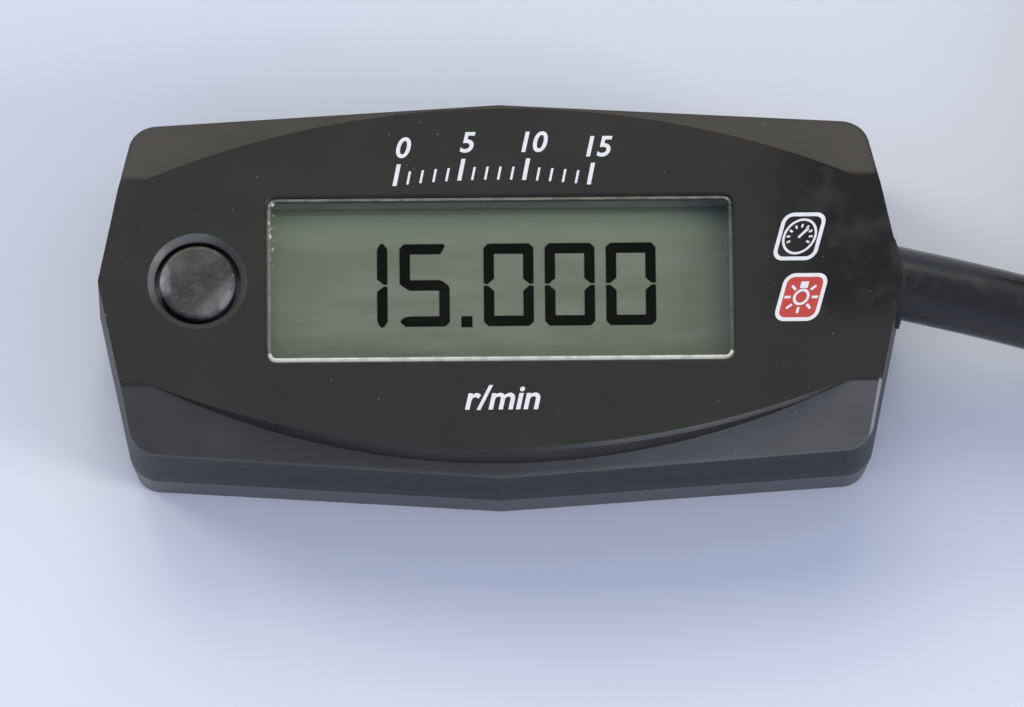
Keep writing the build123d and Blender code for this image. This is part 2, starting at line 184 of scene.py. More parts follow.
# Camera: the view that the picture was taken from
camera = {
    "place": (-3.35, -232.8, 765.4),
    "right": (0.99995, -0.00936, 0.00276),
    "up": (0.00816, 0.95732, 0.2889),
    "back": (-0.00535, -0.28886, 0.95736),
    "lens": 359.3,
    "sensor": 36,
    "nearest": 10,
    "farthest": 20000,
}
cameraData = bpy.data.cameras.new("camera")
cameraData.lens, cameraData.sensor_width = camera["lens"], camera["sensor"]
cameraData.clip_start, cameraData.clip_end = camera["nearest"] * mm, camera["farthest"] * mm
cameraObject = bpy.data.objects.new("camera", cameraData)
scene.collection.objects.link(cameraObject)
turn = Matrix((camera["right"], camera["up"], camera["back"])).transposed().to_4x4()
cameraObject.matrix_world = Matrix.Translation(Vector(camera["place"]) * mm) @ turn
scene.camera = cameraObject
scene.view_settings.view_transform = "Standard"
print("camera set")


# Cable: straight out of the wall, down to the table, then wound for storage with its connector on top
cable = {
    "diameter": 5.6,
    "route": [
        (28.65, 1.26875, 9.35), (38.05, -0.68175, 8.786), (47.45, -3.1, 7.1),
        (54.9, -5.75, 4.3), (62.1, -8.95, 2.82),
    ],
    "coilCentre": (77.0, 19.05),
    # degrees: where the coil starts, and how far apart its points are
    "coilStart": -118.0,
    "coilStep": 24.0,
    # degrees wound so far, radius, height
    "winding": [
        (0, 31.7, 2.82), (570, 22.7, 2.82), (690, 22.5, 8.42),
        (1240, 31.4, 8.42), (1350, 31.0, 14.0), (1536, 28.8, 14.0),
    ],
    "end": [(105.62, 16.05, 14.0), (105.483, 20.045, 14.0)],
    # how finely the line and its round section are divided
    "lineSteps": 8,
    "roundSteps": 7,
}


# A point of the coil. The height eases from one layer to the next, and the radius changes evenly.
def windingPoint(wound):
    legs = cable["winding"]
    for (a, radiusA, heightA), (b, radiusB, heightB) in zip(legs, legs[1:]):
        if a <= wound <= b:
            share = (wound - a) / (b - a)
            rise = share * share * (3 - 2 * share)
            angle = math.radians(cable["coilStart"] + wound)
            radius = radiusA + (radiusB - radiusA) * share
            x, y = cable["coilCentre"]
            height = heightA + (heightB - heightA) * rise
            return (x + radius * math.cos(angle), y + radius * math.sin(angle), height)


cablePoints = list(cable["route"])
wound = cable["coilStep"]
while wound <= cable["winding"][-1][0]:
    cablePoints.append(windingPoint(wound))
    wound += cable["coilStep"]
cablePoints += cable["end"]
cableCurve = bpy.data.curves.new("cable", "CURVE")
cableCurve.dimensions = "3D"
cableSpline = cableCurve.splines.new("NURBS")
cableSpline.points.add(len(cablePoints) - 1)
# the radius stands at the points, because the curve's own box grows by it
for point, at in zip(cableSpline.points, cablePoints):
    point.co = (*(Vector(at) * mm), 1)
    point.radius = cable["diameter"] / 2 * mm
cableSpline.order_u = 3
cableSpline.use_endpoint_u = True
cableCurve.resolution_u = cable["lineSteps"]
cableCurve.bevel_depth = 1
cableCurve.bevel_resolution = cable["roundSteps"]
cableCurve.use_fill_caps = True
cableObject = bpy.data.objects.new("cable", cableCurve)
scene.collection.objects.link(cableObject)
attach(cableObject, "housing")
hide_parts("cable_lead", "cable_coil")
print("cable wound")


# Black moulded plastic of the two housing halves
shell = {
    "black": (0.0112, 0.0106, 0.0085),
    "worn": (0.0215, 0.020, 0.017),
    "dust": (0.34, 0.33, 0.31),
    "greaseAndShade": (0.003, 0.003, 0.0035),
    "gloss": 0.28,
    "front": {"roughness": 0.46, "grainDepth": 0.012},
    "back": {"roughness": 0.3, "grainDepth": 0.004},
    "patches": {"size": 5.0, "detail": 3.0},
    "grain": {"size": 0.16, "detail": 2.0},
    # faint rubbed streaks along the length, flecks of lint and specks of dust
    "streaks": {"size": 0.5, "detail": 2.0, "low": 0.62, "high": 0.78, "stretch": (0.14, 1.0, 1.0)},
    "lint": {"size": 0.28, "detail": 1.0, "low": 0.79, "high": 0.83, "stretch": (1.0, 0.3, 1.0)},
    "specks": {"apart": 1.3, "radius": 0.045, "clusters": 6.0},
    # greasy darker smudges at the cable end, and where they come in along x and y
    "smudges": {"size": 2.6, "detail": 3.0, "low": 0.34, "high": 0.56},
    "smudgesAlong": (17.0, 26.0),
    "smudgesUp": (-5.0, -1.5),
    # how strongly each of them shows
    "amount": {
        "patches": 0.5, "streaks": 0.35, "grain": 0.35, "smudges": 0.9, "specks": 0.35, "lint": 0.25,
        "upperLedgeSheen": 0.6, "lowerLedgeSheen": 0.27, "lowerLedgeSheenAtCable": 0.45, "wall": 0.8, "highlightUpperLeft": 0.9,
    },
    # raised field's height, the line where its ledges begin, and how fast they fall away from it
    "face": 14.0,
    "crease": 8.2,
    "fall": math.tan(math.radians(23.6)),
    # painted sheen that lightens the ledges where they catch and reflect the light: a ledge's side,
    # its upper limit and foot, and where the sheen grows along x
    "upperLedgeSheen": (0.047, 0.040, 0.030),
    "lowerLedgeSheen": (0.108, 0.109, 0.106),
    "ledgeSide": (0.1, 0.35),
    "ledgeTop": (0.015, 0.06),
    "ledgeFoot": (-0.75, -0.3),
    "sheenAlong": (-12.0, 22.0),
    # painted shade: the wall under the lower ledge is darkened
    "wallTop": (-0.9, -0.4),
    "wallFrom": -8,
    "wallFoot": 6,
    # arc that bounds the raised field: its radius, its centre's distance beyond the middle line,
    # and its pale edge, partly wear and partly painted highlight, which fades in and out along x
    "arc": 70.0,
    "arcCentre": 56.28,
    "arcEdge": (-0.22, -0.06),
    "arcFoot": 13.5,
    "paleEdgeIn": (0.0, 12.0),
    "paleEdgeOut": (22.5, 26.0),
    "scuffedAndHighlit": (0.10, 0.10, 0.105),
    # the ends' outer edges at the middle line, how much they lean in per millimetre,
    # and the pale rim there, partly wear and partly painted highlight
    "side": 31.0,
    "lean": 0.1923,
    "rimEdge": (0.3, 0.48),
    "rimTop": (-0.34, -0.15),
    "rimBelow": -8.3,
    "rimFrom": 20,
    "rimWornAndHighlit": (0.28, 0.28, 0.30),
    # the countersink round the button, worn pale all round, with a painted highlight at its upper left: its
    # radii, its heights, and where the highlight is
    "paleAndHighlit": (0.115, 0.114, 0.108),
    "buttonAt": (-23.3, -0.05),
    "countersink": (3.3, 3.9),
    "countersinkHeights": (13.2, 13.98),
    "highlightUpperLeft": (0.5, 4.5),
}


def shellFinish(name, roughness, grainDepth):
    f = Finish(name)
    amount = shell["amount"]
    x, y, z = f.along("XYZ")
    patches = f.noise(**shell["patches"])
    grain = f.noise(**shell["grain"])
    streaks = f.blotches(**shell["streaks"])
    uneven = f.ramp(patches, 0.3, 0.75) * amount["patches"] + streaks * amount["streaks"]
    colour = f.mix(uneven, shell["black"], shell["worn"])
    colour = f.mix(grain * amount["grain"], colour, shell["worn"])
    smudges = f.ramp(x, *shell["smudgesAlong"]) * f.ramp(y, *shell["smudgesUp"])
    smudges = smudges * f.blotches(**shell["smudges"]) * (z > shell["face"] - 0.1)
    colour = f.mix(smudges * amount["smudges"], colour, shell["greaseAndShade"])
    # height over the sloping ledges, which the raised field stands above
    outward = abs(y) - shell["crease"]
    above = z - shell["face"] + outward * shell["fall"]
    ledge = f.ramp(outward, *shell["ledgeSide"]) * (1 - f.ramp(above, *shell["ledgeTop"]))
    ledge = ledge * f.ramp(above, *shell["ledgeFoot"])
    cloudy = 0.7 + patches * 0.6
    lower = amount["lowerLedgeSheen"] + f.ramp(x, *shell["sheenAlong"]) * amount["lowerLedgeSheenAtCable"]
    # painted sheen on the ledges: warm on the upper ones, and on the lower ones growing towards the cable end
    colour = f.mix(ledge * (y > 0) * cloudy * amount["upperLedgeSheen"], colour, shell["upperLedgeSheen"])
    colour = f.mix(ledge * (y < 0) * cloudy * lower, colour, shell["lowerLedgeSheen"])
    # painted shade on the wall under the lower ledge
    wall = (1 - f.ramp(above, *shell["wallTop"])) * (y < shell["wallFrom"]) * (z > shell["wallFoot"])
    colour = f.mix(wall * amount["wall"], colour, shell["greaseAndShade"])
    # pale edges at the lower right, partly wear and partly painted highlight: the raised field's arc and the
    # ledge's outer rim
    pastArc = f.distance(x, abs(y) + shell["arcCentre"]) - shell["arc"]
    scuffedAndHighlit = f.ramp(pastArc, *shell["arcEdge"]) * (z > shell["arcFoot"]) * (y < 0)
    scuffedAndHighlit = scuffedAndHighlit * f.ramp(x, *shell["paleEdgeIn"]) * (1 - f.ramp(x, *shell["paleEdgeOut"]))
    colour = f.mix(scuffedAndHighlit * (1 - ledge) * (0.4 + patches * 0.5), colour, shell["scuffedAndHighlit"])
    inward = shell["side"] - abs(y) * shell["lean"] - x
    rimWornAndHighlit = (1 - f.ramp(inward, *shell["rimEdge"])) * f.ramp(above, *shell["rimTop"])
    rimWornAndHighlit = rimWornAndHighlit * (y < shell["rimBelow"]) * (x > shell["rimFrom"])
    colour = f.mix(rimWornAndHighlit * (0.5 + patches * 0.5), colour, shell["rimWornAndHighlit"])
    # the countersink is worn pale all round, and a highlight is painted on its upper left
    buttonX, buttonY = shell["buttonAt"]
    reach = f.distance(x - buttonX, y - buttonY)
    near, far = shell["countersink"]
    low, high = shell["countersinkHeights"]
    ring = (reach > near) * (reach < far) * (z < high) * (z > low)
    highlightUpperLeft = f.ramp(y - buttonY - x + buttonX, *shell["highlightUpperLeft"])
    paleAndHighlit = ring * (0.12 + patches * 0.35 + highlightUpperLeft * amount["highlightUpperLeft"])
    colour = f.mix(paleAndHighlit, colour, shell["paleAndHighlit"])
    flecks = f.specks(**shell["specks"]) * amount["specks"] + f.blotches(**shell["lint"]) * amount["lint"]
    colour = f.mix(f.math("MINIMUM", flecks, 1.0), colour, shell["dust"])
    return f.surface({
        "Base Color": colour,
        "Roughness": roughness + (grain - 0.5) * 0.2 - streaks * 0.06 - ring * 0.08 - smudges * 0.14,
        "Specular IOR Level": shell["gloss"],
        "Normal": f.bump(grain, grainDepth, 0.6),
    })


dress(shellFinish("black moulded plastic", **shell["front"]), "front_shell")
dress(shellFinish("smoother black plastic of the back", **shell["back"]), "back_cover")
print("housing finished")


# Clear window: nearly see-through, with a pale edge where its bevel catches the light
window = {
    "halfLength": 17.92,
    "halfHeight": 6.57,
    "corner": 0.67,
    "clear": (0.05, 0.055, 0.05),
    "pale": (0.87, 0.83, 0.71),
    "gloss": 0.5,
    "veil": 0.02,
    # the bevel's painted highlight: how far inwards it fades out, its foot, and how brightly each side of it
    # is lit
    "bevel": (0.18, 0.33),
    "rimFoot": 13.6,
    "strength": {"left": 0.16, "right": 0.12, "top": 0.22, "bottom": 1.0},
    "spots": {"size": 0.9, "detail": 3.0, "low": 0.38, "high": 0.62},
    # chips in the left edge, painted as bright glints: how far in they reach, and where they come in along y
    "glintingChips": {"size": 0.45, "detail": 3.0, "low": 0.52, "high": 0.68},
    "glintingChipsIn": (0.1, 0.8),
    "glintingChipsUp": (-1.0, 4.0),
    "haze": {"size": 7.0, "detail": 3.0, "low": 0.3, "high": 0.8},
    "scuffs": {"size": 0.35, "detail": 2.0, "low": 0.68, "high": 0.8, "stretch": (1.0, 0.12, 1.0)},
    # painted shadow strip at the top: where it comes in along y, its upper edge and its half length
    "shadowStripFrom": (5.62, 5.95),
    "shadowStripTop": 6.3,
    "shadowStripHalf": 17.6,
}


def windowFinish():
    f = Finish("clear window plastic")
    x, y, z = f.along("XYZ")
    length, height, corner = window["halfLength"], window["halfHeight"], window["corner"]
    # distance inwards from the rounded outline of the window
    beyondX = f.math("MAXIMUM", abs(x) - (length - corner), 0.0)
    beyondY = f.math("MAXIMUM", abs(y) - (height - corner), 0.0)
    band = 1 - f.ramp(corner - f.distance(beyondX, beyondY), *window["bevel"])
    fromLeft = x + length
    strength = 0.0
    for fromSide, side in (
        (fromLeft, "left"), (length - x, "right"), (height - y, "top"), (y + height, "bottom"),
    ):
        strength = f.math("MAXIMUM", (fromSide < corner) * window["strength"][side], strength)
    # painted highlight along the bevel, strongest at the bottom edge, with the chips' painted glints
    rim = f.math("MINIMUM", band * strength * (0.75 + f.blotches(**window["spots"]) * 0.35), 1.0)
    glintingChips = f.blotches(**window["glintingChips"]) * (1 - f.ramp(fromLeft, *window["glintingChipsIn"]))
    glintingChips = glintingChips * f.ramp(y, *window["glintingChipsUp"]) * 0.6
    rim = f.math("MAXIMUM", rim, glintingChips) * (z > window["rimFoot"])
    haze = f.blotches(**window["haze"])
    scuffs = f.blotches(**window["scuffs"])
    # painted shadow: a dark bluish strip along the top of the window, where the hole's upper wall shades the
    # display
    shadowStrip = f.ramp(y, *window["shadowStripFrom"]) * (abs(x) < window["shadowStripHalf"]) * (y < window["shadowStripTop"])
    return f.surface({
        "Base Color": f.mix(f.ramp(rim, 0.0, 0.2), window["clear"], window["pale"]),
        "Roughness": 0.08 + haze * 0.1,
        "Alpha": window["veil"] + haze * 0.02 + scuffs * 0.02 + shadowStrip * 0.25 + rim,
        "Specular IOR Level": window["gloss"],
    })


dress(windowFinish(), "display_window")


# Display field behind the window, and the number it shows
display = {
    "lit": (0.137, 0.159, 0.110),
    "dim": (0.090, 0.103, 0.073),
    "pale": (0.222, 0.262, 0.168),
    "streaked": (0.222, 0.255, 0.208),
    "shaded": (0.058, 0.072, 0.074),
    "gloss": 0.25,
    "clouds": {"size": 9.0, "detail": 3.0, "low": 0.25, "high": 0.8},
    "streaks": {"size": 1.6, "detail": 3.0, "low": 0.35, "high": 0.7, "stretch": (0.2, 1.0, 1.0)},
    "weave": {"size": 0.5, "detail": 2.0},
    # the field's upper and left edges, and how far in light is painted there, against the shade of the
    # window's walls
    "top": 6.3,
    "left": 18.1,
    "edgeLightTop": 4.0,
    "edgeLightLeft": 4.2,
    # where it grows dimmer along x, and the bluish shade at the right edge, which reaches in further high up
    "dimAlong": (12.5, 17.5),
    "shadeAlong": (15.4, 18.0),
    "shadeUp": (2.0, 6.0),
    "shadeReach": 0.8,
    # how strongly each of them shows
    "amount": {
        "clouds": 0.4, "dim": 0.3, "streaks": 0.32, "weave": 0.14, "edgeLightTop": 1.1, "edgeLightLeft": 0.4,
        "shade": 0.62,
    },
    "surface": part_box("front_polariser")[1][2] / mm,
    "ink": 0.03,
    "inkLook": {"colour": (0.003, 0.004, 0.002), "rough": 0.6, "patchy": 0.25, "gloss": 0.02},
    "number": "15000",
    "digitLeft": [-12.55, -7.76, -1.27, 3.45, 8.17],
    "bottom": -3.21,
    "dot": [(-3.02, -3.28), (-2.16, -3.28), (-2.16, -2.41), (-3.02, -2.41)],
}


def fieldFinish():
    f = Finish("display field")
    x, y = f.along("XY")
    amount = display["amount"]
    weave = f.noise(**display["weave"])
    clouds, streaks = f.blotches(**display["clouds"]), f.blotches(**display["streaks"])
    # painted light: the field grows paler towards its left and upper edges, making up for the shade of the
    # window's walls; it grows darker at the right
    fromTop, fromLeft = display["top"] - y, x + display["left"]
    edgeLight = f.ramp(fromTop, 0.0, 0.3) * (1 - f.ramp(fromTop, 0.3, display["edgeLightTop"])) * amount["edgeLightTop"]
    edgeLight = edgeLight + (1 - f.ramp(fromLeft, 0.0, display["edgeLightLeft"])) * amount["edgeLightLeft"]
    dimmer = clouds * amount["clouds"] + f.ramp(x, *display["dimAlong"]) * amount["dim"]
    colour = f.mix(dimmer, display["lit"], display["dim"])
    colour = f.mix(streaks * amount["streaks"] + weave * amount["weave"], colour, display["streaked"])
    colour = f.mix(f.math("MINIMUM", edgeLight, 1.0), colour, display["pale"])
    shade = f.ramp(x + f.ramp(y, *display["shadeUp"]) * display["shadeReach"], *display["shadeAlong"])
    colour = f.mix(shade * amount["shade"], colour, display["shaded"])
    return f.surface({
        "Base Color": colour, "Roughness": 0.45 + weave * 0.15, "Specular IOR Level": display["gloss"],
    })


dress(fieldFinish(), "front_polariser")


# A flat print becomes a mesh at its place, and rides on the housing
def laidOn(name, drawing, place, material):
    flat = bpy.data.objects.new(name, drawing)
    scene.collection.objects.link(flat)
    bpy.context.view_layer.update()
    mesh = bpy.data.meshes.new_from_object(flat.evaluated_get(bpy.context.evaluated_depsgraph_get()))
    bpy.data.objects.remove(flat)
    mesh.transform(Matrix.Translation(Vector(place) * mm))
    mesh.materials.clear()
    mesh.materials.append(material)
    piece = bpy.data.objects.new(name, mesh)
    scene.collection.objects.link(piece)
    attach(piece, "housing")


# A thin print of closed outlines in millimetres. Those inside the first cut holes.
def printed(name, outlines, bottom, thickness, material):
    curve = bpy.data.curves.new(name, "CURVE")
    curve.dimensions = "2D"
    curve.fill_mode = "BOTH"
    curve.extrude = thickness / 2 * mm
    for outline in outlines:
        spline = curve.splines.new("POLY")
        spline.points.add(len(outline) - 1)
        for point, (x, y) in zip(spline.points, outline):
            point.co = (x * mm, y * mm, 0, 1)
        spline.use_cyclic_u = True
    laidOn(name, curve, (0, 0, bottom + thickness / 2), material)


# How every print is worn
ink = {
    "wear": {"size": 0.5, "detail": 2.0, "low": 0.35, "high": 0.7},
    "grain": {"size": 0.12, "detail": 2.0},
    "grainDepth": 0.004,
}


def inkFinish(name, colour, rough, patchy, gloss):
    f = Finish(name)
    grain = f.noise(**ink["grain"])
    faded = tuple(c * (1 - patchy) for c in colour)
    return f.surface({
        "Base Color": f.mix(f.blotches(**ink["wear"]) * 0.6 + grain * 0.4, colour, faded),
        "Roughness": rough + grain * 0.15,
        "Specular IOR Level": gloss,
        "Normal": f.bump(grain, ink["grainDepth"], 0.5),
    })


# Strokes of the digits, in a cell 3.85 wide and 6.65 high, with corners cut as on such displays.
# The lower half of a 0 or a 1 is its upper half turned over.
strokes = {
    "height": 6.65,
    "upperZero": [
        (0, 3.425), (0, 6.3), (0.35, 6.65), (3.5, 6.65), (3.85, 6.3), (3.85, 3.425),
        (3.55, 3.385), (3.05, 3.825), (3.05, 5.83), (0.8, 5.83), (0.8, 3.825), (0.3, 3.385),
    ],
    "upperOne": [
        (3.05, 3.825), (3.05, 6.2), (3.3, 6.68), (3.55, 6.68), (3.85, 6.25), (3.85, 3.425), (3.6, 3.385),
    ],
    "five": [
        (0.35, 6.65), (0, 6.3), (0, 3.45), (0.25, 3.25), (0.75, 2.9), (3.05, 2.9), (3.05, 0.82), (0.75, 0.82),
        (0.35, 0.72), (0.04, 0.45), (0.12, 0.28), (0.45, 0), (3.5, 0), (3.85, 0.35), (3.85, 3.1), (3.75, 3.3),
        (3.3, 3.66), (3.05, 3.74), (0.8, 3.74), (0.8, 5.83), (3.15, 5.83), (3.5, 6.45), (3.4, 6.65),
    ],
}


def bothHalves(upper):
    return [upper, [(x, strokes["height"] - y) for x, y in upper]]


digits = {"0": bothHalves(strokes["upperZero"]), "1": bothHalves(strokes["upperOne"]), "5": [strokes["five"]]}
segments = []
for left, digit in zip(display["digitLeft"], display["number"]):
    for outline in digits[digit]:
        segments.append([(x + left, y + display["bottom"]) for x, y in outline])
segments.append(display["dot"])
darkInk = inkFinish("display segments", **display["inkLook"])
printed("display_segments", segments, display["surface"], display["ink"], darkInk)
print("display drawn")


# Prints on the panel: a plain scale, the unit, and two little pictures
panel = {
    "height": shell["face"],
    "ink": 0.015,
    "white": {"colour": (0.73, 0.73, 0.74), "rough": 0.5, "patchy": 0.12, "gloss": 0.5},
    "red": {"colour": (0.49, 0.040, 0.030), "rough": 0.5, "patchy": 0.15, "gloss": 0.5},
    "letters": {"shear": 0.22, "boldness": 0.035, "curveSteps": 6},
    "unit": {"text": "r/min", "size": 2.7, "middle": -9.7},
    "scale": {
        "left": -8.1, "step": 1.0, "count": 16, "foot": 7.5, "rise": 0.45, "lean": 0.2, "longEvery": 5,
        # height and half width of a tick
        "long": (1.75, 0.16), "short": (1.05, 0.09),
        "numberSize": 2.3, "numberAside": 0.55, "numberAbove": 1.25,
    },
    "frame": {"width": 3.4, "height": 3.85, "lean": 0.28, "corner": 0.85, "stroke": 0.3},
    # half sizes of the ring's two ellipses, then bars as start, end and half width along their angle
    "dial": {
        "at": (20.86, 1.23), "ring": [(1.3, 1.45), (1.12, 1.27)],
        "marks": range(-30, 211, 30), "mark": (0.72, 1.0, 0.075),
        "handAngle": 52, "hand": (-0.12, 0.85, 0.1),
    },
    "lamp": {
        "at": (20.9, -3.66), "ring": [(0.62, 0.66), (0.42, 0.46)],
        "rays": range(0, 360, 45), "ray": (0.82, 1.3, 0.1),
        "baseAngle": 90, "base": (0.72, 1.25, 0.3),
    },
}
whiteInk = inkFinish("white print", **panel["white"])
redInk = inkFinish("red print", **panel["red"])


def panelPrint(name, outlines, material, layer=0):
    bottom = panel["height"] + layer * panel["ink"]
    printed(name, outlines, bottom, panel["ink"], material)


def lettering(name, text, size, x, y):
    font = bpy.data.curves.new(name, "FONT")
    font.body = text
    font.size = size * mm
    font.shear = panel["letters"]["shear"]
    font.offset = panel["letters"]["boldness"] * mm * size / 2
    font.extrude = panel["ink"] / 2 * mm
    font.align_x, font.align_y = "CENTER", "CENTER"
    font.resolution_u = panel["letters"]["curveSteps"]
    laidOn(name, font, (x, y, panel["height"] + panel["ink"] / 2), whiteInk)


ruler = panel["scale"]
ticks = []
for i in range(ruler["count"]):
    x = ruler["left"] + i * ruler["step"]
    share = 2 * i / (ruler["count"] - 1) - 1
    foot = ruler["foot"] + ruler["rise"] * (1 - share * share)
    long = i % ruler["longEvery"] == 0
    high, half = ruler["long"] if long else ruler["short"]
    aside, top = ruler["lean"] * high, foot + high
    ticks.append([(x - half, foot), (x + half, foot), (x + half + aside, top), (x - half + aside, top)])
    if long:
        numberAt = (x + ruler["numberAside"], top + ruler["numberAbove"])
        lettering(f"scale_number_{i}", str(i), ruler["numberSize"], *numberAt)
panelPrint("scale_ticks", ticks, whiteInk)
lettering("unit_mark", panel["unit"]["text"], panel["unit"]["size"], 0.0, panel["unit"]["middle"])


# A point px, py from x, y, in a picture that leans
def leaning(x, y, px, py):
    return (x + px + panel["frame"]["lean"] * py, y + py)


# Outline of a picture's frame, inset from its outer edge
def roundedFrame(x, y, inset):
    width, height, corner = (panel["frame"][size] for size in ("width", "height", "corner"))
    radius, steps = corner - inset, 8
    outline = []
    for cx, cy, start in (
        (width - corner, height - corner, 0), (corner, height - corner, 90),
        (corner, corner, 180), (width - corner, corner, 270),
    ):
        for i in range(steps + 1):
            a = math.radians(start + i * 90 / steps)
            outline.append(leaning(x, y, cx + radius * math.cos(a), cy + radius * math.sin(a)))
    return outline


def ellipse(x, y, radiusX, radiusY, count=36):
    turns = [i * 2 * math.pi / count for i in range(count)]
    return [leaning(x, y, radiusX * math.cos(a), radiusY * math.sin(a)) for a in turns]


def bar(x, y, angle, start, end, halfWidth):
    c, s = math.cos(math.radians(angle)), math.sin(math.radians(angle))
    corners = ((start, -halfWidth), (end, -halfWidth), (end, halfWidth), (start, halfWidth))
    return [leaning(x, y, along * c - across * s, along * s + across * c) for along, across in corners]


# Prints a picture's white frame, and gives its middle
def paintedFrame(name, x, y):
    box = panel["frame"]
    panelPrint(name, [roundedFrame(x, y, 0), roundedFrame(x, y, box["stroke"])], whiteInk)
    return x + box["width"] / 2 + box["lean"] * box["height"] / 2, y + box["height"] / 2


dial = panel["dial"]
middle = paintedFrame("dial_frame", *dial["at"])
dialParts = [ellipse(*middle, *radii) for radii in dial["ring"]]
dialParts += [bar(*middle, angle, *dial["mark"]) for angle in dial["marks"]]
dialParts.append(bar(*middle, dial["handAngle"], *dial["hand"]))
panelPrint("dial_picture", dialParts, whiteInk)

lamp = panel["lamp"]
middle = paintedFrame("lamp_frame", *lamp["at"])
panelPrint("lamp_ground", [roundedFrame(*lamp["at"], panel["frame"]["stroke"])], redInk)
lampParts = [ellipse(*middle, *radii) for radii in lamp["ring"]]
lampParts += [bar(*middle, angle, *lamp["ray"]) for angle in lamp["rays"] if angle != lamp["baseAngle"]]
lampParts.append(bar(*middle, lamp["baseAngle"], *lamp["base"]))
panelPrint("lamp_picture", lampParts, whiteInk, layer=1)
print("panel printed")


# Button: dark dished rubber, mottled, with painted highlights at the left and at the lower right, and painted
# light towards the upper left
button = {
    "radius": 2.95,
    "dark": (0.014, 0.014, 0.016),
    "mottled": (0.082, 0.081, 0.066),
    "paleAndHighlit": (0.27, 0.275, 0.29),
    "speck": (0.42, 0.42, 0.44),
    "gloss": 0.4,
    "mottles": {"size": 1.1, "detail": 5.0, "low": 0.4, "high": 0.7},
    "smears": {"size": 1.1, "detail": 3.0, "low": 0.36, "high": 0.62, "stretch": (1.0, 0.6, 1.0)},
    "specks": {"apart": 0.7, "radius": 0.06, "clusters": 0.9},
    "wrinkles": {"size": 0.45, "detail": 4.0},
    "grain": {"size": 0.14, "detail": 3.0},
    "depth": 0.14,
    # how strongly each of them shows, and how strong the painted highlights on the two sides are
    "amount": {"mottles": 0.75, "grain": 0.1, "specks": 0.7, "leftEdgeHighlight": 1.2, "lowerRightHighlight": 0.55},
}


def buttonFinish():
    f = Finish("mottled button rubber")
    amount = button["amount"]
    # from -1 to 1 across the button
    x, y = ((along - at) / button["radius"] for along, at in zip(f.along("XY"), shell["buttonAt"]))
    # the mottles grow paler towards the upper left: painted light on the dish
    mottles = f.blotches(**button["mottles"]) * 0.5 + f.ramp(y - x * 0.4, -0.15, 0.8) * 0.6
    wrinkles = f.noise(**button["wrinkles"])
    smears = f.blotches(**button["smears"])
    grain = f.noise(**button["grain"])
    # painted highlights at the left edge and at the lower right
    leftEdgeHighlight = f.ramp(0 - x, 0.62, 0.92) * (1 - f.ramp(abs(y - 0.1), 0.2, 0.55)) * (0.4 + smears * 0.6)
    lowerRightHighlight = f.ramp(x * 0.6 - y * 0.8, 0.3, 0.75) * f.ramp(x, -0.1, 0.35)
    lowerRightHighlight = lowerRightHighlight * (0.3 + smears * 0.7) * amount["lowerRightHighlight"]
    paleAndHighlit = f.math("MINIMUM", leftEdgeHighlight * amount["leftEdgeHighlight"] + lowerRightHighlight, 1.0)
    colour = f.mix(mottles * amount["mottles"] + grain * amount["grain"], button["dark"], button["mottled"])
    colour = f.mix(paleAndHighlit, colour, button["paleAndHighlit"])
    colour = f.mix(f.specks(**button["specks"]) * amount["specks"], colour, button["speck"])
    return f.surface({
        "Base Color": colour,
        "Roughness": 0.4 + grain * 0.2 - paleAndHighlit * 0.12,
        "Specular IOR Level": button["gloss"],
        "Normal": f.bump(wrinkles * 0.85 + grain * 0.15, button["depth"], 0.9),
    })


dress(buttonFinish(), "button_cap")


# Cable sleeve
sleeve = {
    "black": (0.0085, 0.008, 0.007),
    "pale": (0.036, 0.034, 0.028),
    "gloss": 0.42,
    "scuffs": {"size": 1.8, "detail": 4.0, "low": 0.52, "high": 0.72},
    "grain": {"size": 0.25, "detail": 2.0},
    "grainDepth": 0.015,
}


def sleeveFinish():
    f = Finish("cable sleeve")
    grain = f.noise(**sleeve["grain"])
    scuffs = f.blotches(**sleeve["scuffs"])
    return f.surface({
        "Base Color": f.mix(scuffs * 0.45 + grain * 0.15, sleeve["black"], sleeve["pale"]),
        "Roughness": 0.2 + grain * 0.1 + scuffs * 0.14,
        "Specular IOR Level": sleeve["gloss"],
        "Normal": f.bump(grain, sleeve["grainDepth"], 0.5),
    })


cableCurve.materials.append(sleeveFinish())


# Black rubber of the bush, the seal and the connector's boot, and the connector's black nylon
rubber = {
    "dark": (0.014, 0.014, 0.014),
    "pale": (0.045, 0.045, 0.043),
    "cloud": {"size": 2.5, "detail": 3.0, "low": 0.4, "high": 0.8},
    "grain": {"size": 0.2, "detail": 3.0},
    "grainDepth": 0.02,
    "rough": 0.62,
}
nylon = {
    "dark": (0.022, 0.022, 0.023),
    "pale": (0.06, 0.06, 0.06),
    "cloud": {"size": 3.0, "detail": 3.0, "low": 0.35, "high": 0.8},
    "grain": {"size": 0.18, "detail": 2.0},
    "grainDepth": 0.01,
    "rough": 0.4,
}


def blackFinish(name, look):
    f = Finish(name)
    grain = f.noise(**look["grain"])
    return f.surface({
        "Base Color": f.mix(f.blotches(**look["cloud"]) * 0.5 + grain * 0.2, look["dark"], look["pale"]),
        "Roughness": look["rough"] + grain * 0.2,
        "Normal": f.bump(grain, look["grainDepth"], 0.6),
    })


dress(blackFinish("black rubber", rubber), "cable_gland", "cover_seal", "connector_boot")
dress(blackFinish("black connector nylon", nylon), "connector_housing")


